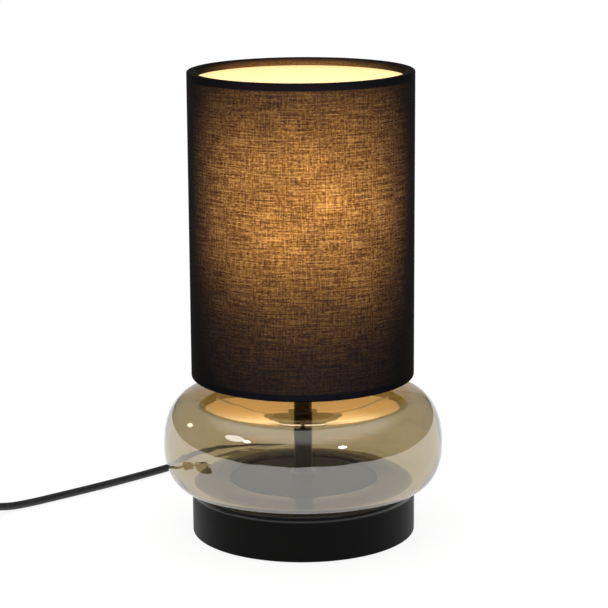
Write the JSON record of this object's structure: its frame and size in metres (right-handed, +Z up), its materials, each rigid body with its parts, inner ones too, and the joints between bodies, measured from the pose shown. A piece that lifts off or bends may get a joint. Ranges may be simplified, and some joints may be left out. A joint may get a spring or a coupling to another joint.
{
  "type": "table lamp",
  "caption": "Table lamp with a drum base, a squashed glass body round a black stem, a fabric cylinder shade on a screw lampholder, and a lead with a rocker switch and a plug.",
  "frame": {"origin": "middle of the foot pad's underside, on the table, on the stem's axis", "axes": "+Z up along the stem, -Y towards the front, +X to the right; the lead leaves the back of the base at +Y and runs to the left"},
  "size_m": [0.4208, 0.2837, 0.314],
  "materials": {
    "satin_black": "satin black powder coat",
    "stem_black": "semi-gloss black paint",
    "cast_iron": "bare cast iron",
    "fibreboard": "dark hardboard",
    "foam": "black closed-cell foam",
    "zinc": "zinc-plated steel",
    "brass": "plain brass",
    "clear_silicone": "clear silicone",
    "amber_glass": "thin blown glass, amber, with a mirror-like lustre",
    "holder_black": "black thermoplastic",
    "holder_cream": "cream thermoset",
    "shade_fabric": "black slubbed linen weave",
    "shade_lining": "cream laminate film",
    "carrier_white": "white-coated steel wire",
    "opal_glass": "opal white",
    "nickel": "nickel plate",
    "cord_black": "matt black PVC sheath",
    "wire_brown": "brown insulation",
    "wire_blue": "blue insulation",
    "switch_black": "black moulded plastic"
  },
  "bodies": {
    "base": {"foot_pad": "foam", "base_cover": "fibreboard", "base_shell": "satin_black", "base_ballast": "cast_iron", "base_washer": "zinc", "base_nut": "zinc", "threaded_rod": "zinc", "glass_gasket": "clear_silicone", "stem_collar": "stem_black", "stem_tube": "stem_black", "glass_support_washer": "stem_black", "glass_body": "amber_glass", "glass_top_gasket": "clear_silicone", "glass_cap_washer": "stem_black", "neck_tube": "stem_black", "lampholder_cap": "holder_black", "lampholder_core": "holder_cream", "lampholder_contact": "brass", "lampholder_screw_shell": "brass", "lampholder_sleeve": "holder_black", "cord_strain_relief": "cord_black", "inner_lead": "cord_black", "live_wire": "wire_brown", "neutral_wire": "wire_blue", "cord_run_lamp": "cord_black", "switch_base": "switch_black", "switch_cover": "switch_black", "switch_rocker_pin": "zinc", "switch_screw_front": "zinc", "switch_screw_rear": "zinc", "switch_terminal_front": "brass", "switch_terminal_rear": "brass", "cord_run_switch": "cord_black", "cord_coil": "cord_black", "cord_tie": "switch_black", "plug_relief": "switch_black", "plug_body": "switch_black", "plug_pin_left": "nickel", "plug_pin_right": "nickel", "plug_sleeve_left": "switch_black", "plug_sleeve_right": "switch_black"},
    "shade": {"shade_carrier": "carrier_white", "shade_top_ring": "carrier_white", "shade_lining": "shade_lining", "shade_fabric": "shade_fabric"},
    "shade_ring": {"shade_ring": "holder_black"},
    "bulb": {"bulb_tip_contact": "brass", "bulb_insulator": "stem_black", "bulb_screw_cap": "nickel", "bulb_globe": "opal_glass"},
    "rocker": {"switch_rocker": "switch_black"}
  },
  "joints": [
    {"name": "switch_rock", "type": "hinge", "parent": "base", "child": "rocker", "pos_m": [-0.2475, 0.00467, 0.0104], "axis": [-0.6314, 0.7754, 0], "range_deg": [0, 16]},
    {"name": "shade_turn", "type": "hinge", "parent": "base", "child": "shade", "pos_m": [0, 0, 0.1222], "axis": [0, 0, 1], "continuous": true},
    {"name": "shade_ring_turn", "type": "hinge", "parent": "base", "child": "shade_ring", "pos_m": [0, 0, 0.124], "axis": [0, 0, 1], "continuous": true},
    {"name": "bulb_lift", "type": "slide", "parent": "base", "child": "bulb", "axis": [0, 0, 1], "range_m": [0, 0.026]}
  ]
}
